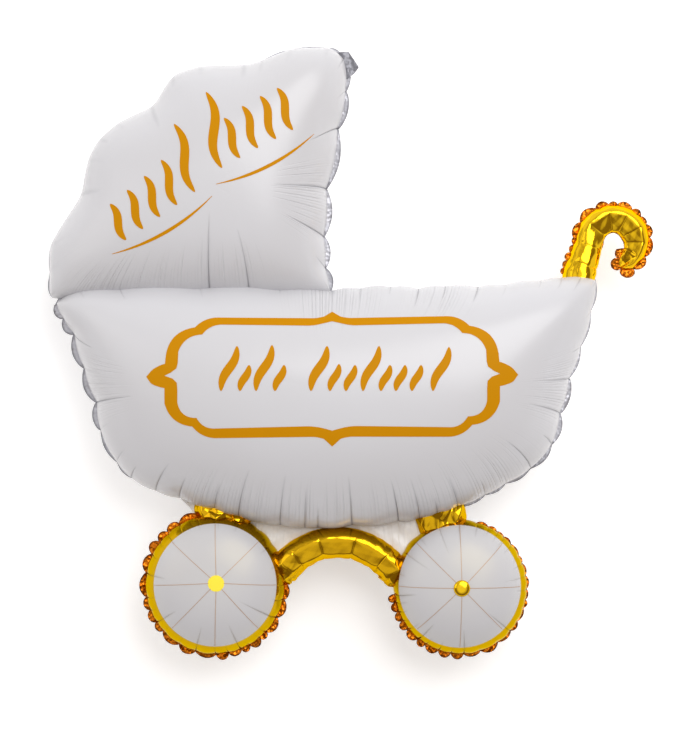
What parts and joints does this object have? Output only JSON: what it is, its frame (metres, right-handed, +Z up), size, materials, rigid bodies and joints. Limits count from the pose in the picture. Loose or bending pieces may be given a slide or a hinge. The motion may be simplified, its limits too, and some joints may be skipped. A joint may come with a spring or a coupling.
{
  "type": "baby carriage foil balloon",
  "caption": "Inflated foil balloon in the shape of a baby carriage, with a hood, round wheels, an arched axle and a curled handle, lying on its back.",
  "frame": {"origin": "middle of the underside of the whole balloon's box, on the floor it lies on", "axes": "+Z up, out of the printed front; +Y towards the top of the hood; +X towards the curled handle"},
  "size_m": [0.795, 0.8048, 0.198],
  "materials": {
    "white_foil": "satin white film",
    "gold_foil": "polished gold foil"
  },
  "bodies": {
    "root": {"balloon": "white_foil"}
  },
  "joints": []
}
